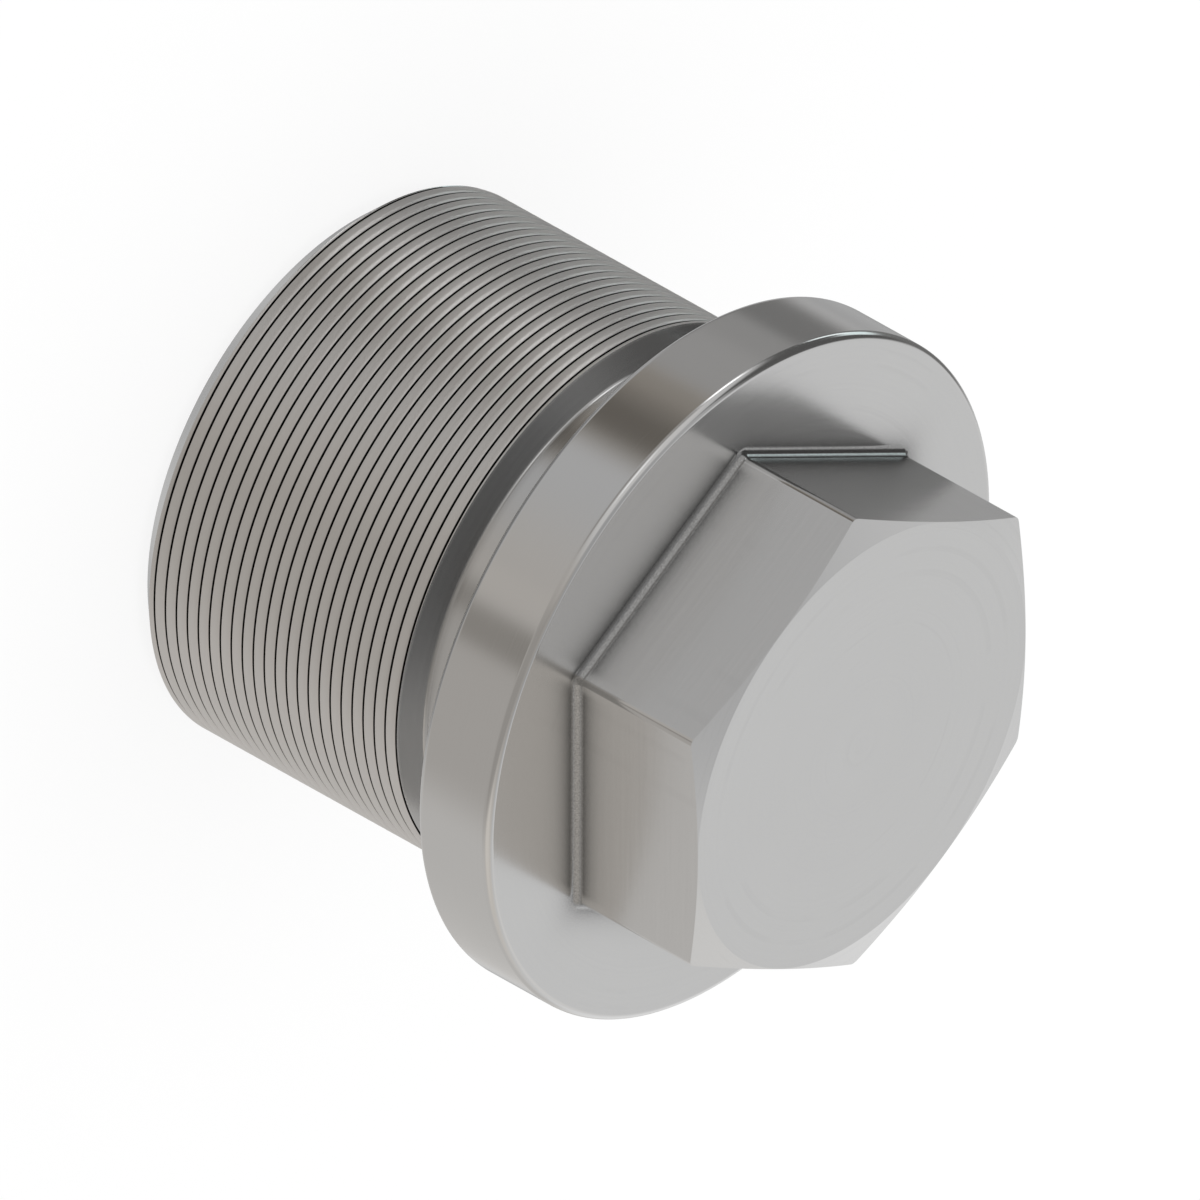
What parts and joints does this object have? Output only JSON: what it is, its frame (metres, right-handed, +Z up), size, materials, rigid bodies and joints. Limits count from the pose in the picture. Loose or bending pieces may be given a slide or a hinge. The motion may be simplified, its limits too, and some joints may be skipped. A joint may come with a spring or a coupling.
{
  "type": "threaded plug",
  "caption": "Solid threaded plug with a hexagon head on a round flange, a plain undercut neck and a fine external thread, turned from bright steel.",
  "frame": {"origin": "centre of the flat end face of the thread, on which the plug stands", "axes": "+Z up the plug's axis, from the thread's end to the head; +X through a corner of the hexagon, +Y square to a flat"},
  "size_m": [0.077, 0.077, 0.0717],
  "materials": {
    "plug": "fine turned and satin"
  },
  "bodies": {
    "root": {"plug": "plug"}
  },
  "joints": []
}
